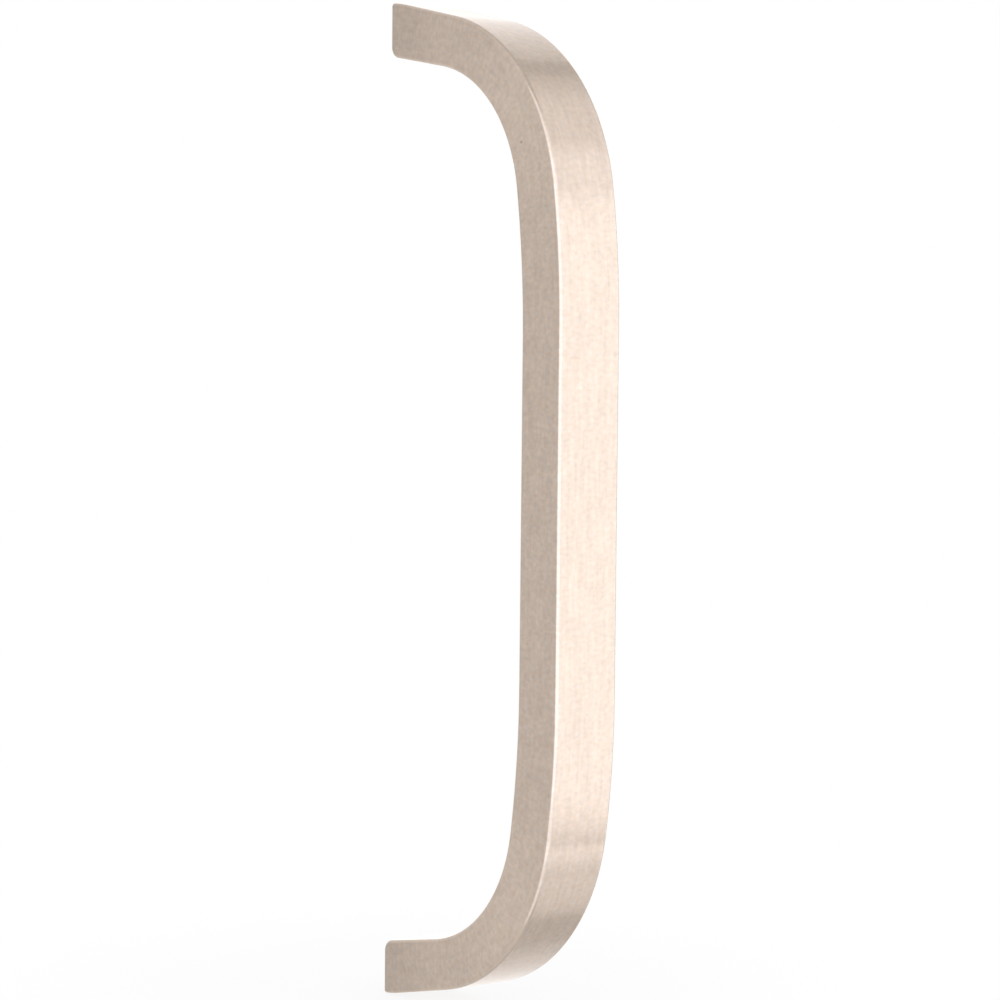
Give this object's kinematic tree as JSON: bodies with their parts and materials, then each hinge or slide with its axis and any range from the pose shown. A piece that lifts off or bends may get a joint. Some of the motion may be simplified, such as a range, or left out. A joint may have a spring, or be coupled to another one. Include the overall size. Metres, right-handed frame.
{
  "type": "curved bar handle",
  "caption": "One-piece bow handle of flat-sided bar with splayed feet, screwed on from behind to a door or drawer front.",
  "frame": {"origin": "on the door's face, midway between the axes of the two screw holes", "axes": "+Z along the grip from foot to foot, +Y into the door along the screw holes, so the grip stands out towards -Y, and X across the bar's width"},
  "size_m": [0.01, 0.037, 0.1358],
  "materials": {
    "satin_nickel": "fine brushed satin along the bar, warm nickel plate"
  },
  "bodies": {
    "root": {"bar_handle": "satin_nickel"}
  },
  "joints": []
}
